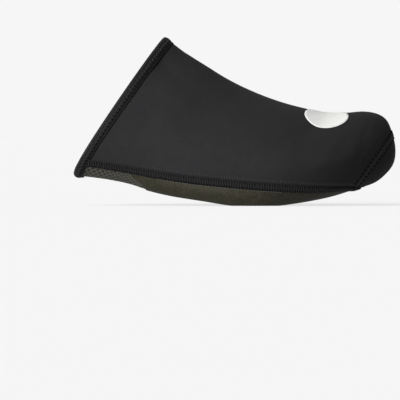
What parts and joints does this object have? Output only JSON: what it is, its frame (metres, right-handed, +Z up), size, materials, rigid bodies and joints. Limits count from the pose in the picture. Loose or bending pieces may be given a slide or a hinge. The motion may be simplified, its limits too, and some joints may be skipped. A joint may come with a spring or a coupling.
{
  "type": "cycling toe cover",
  "caption": "Hollow neoprene toe cover for a cycling shoe: slanting hemmed collar, raised flatlock seams, wrapped sole with a cleat opening, grip strap and round badge.",
  "frame": {"origin": "on the floor under the middle of the cover's length, on its middle plane", "axes": "+X towards the tip of the toe, +Z up, the collar's opening at -X"},
  "size_m": [0.1902, 0.0906, 0.0996],
  "materials": {
    "upper": "matte black neoprene with a smooth knitted face",
    "toe_panel": "matte black neoprene, a shade darker",
    "sole": "dull olive-grey coated abrasion cloth",
    "binding": "black folded tape",
    "arch_strap": "grey-olive dimpled grip cloth",
    "hem": "black folded hem with stitches",
    "seam_thread": "black flatlock thread",
    "badge": "pale reflective transfer, bare"
  },
  "bodies": {
    "root": {"upper": "upper", "toe_panel": "toe_panel", "sole": "sole", "cleat_binding": "binding", "arch_strap": "arch_strap", "collar_hem": "hem", "sole_seam": "seam_thread", "toe_seam": "seam_thread", "badge": "badge"}
  },
  "joints": []
}
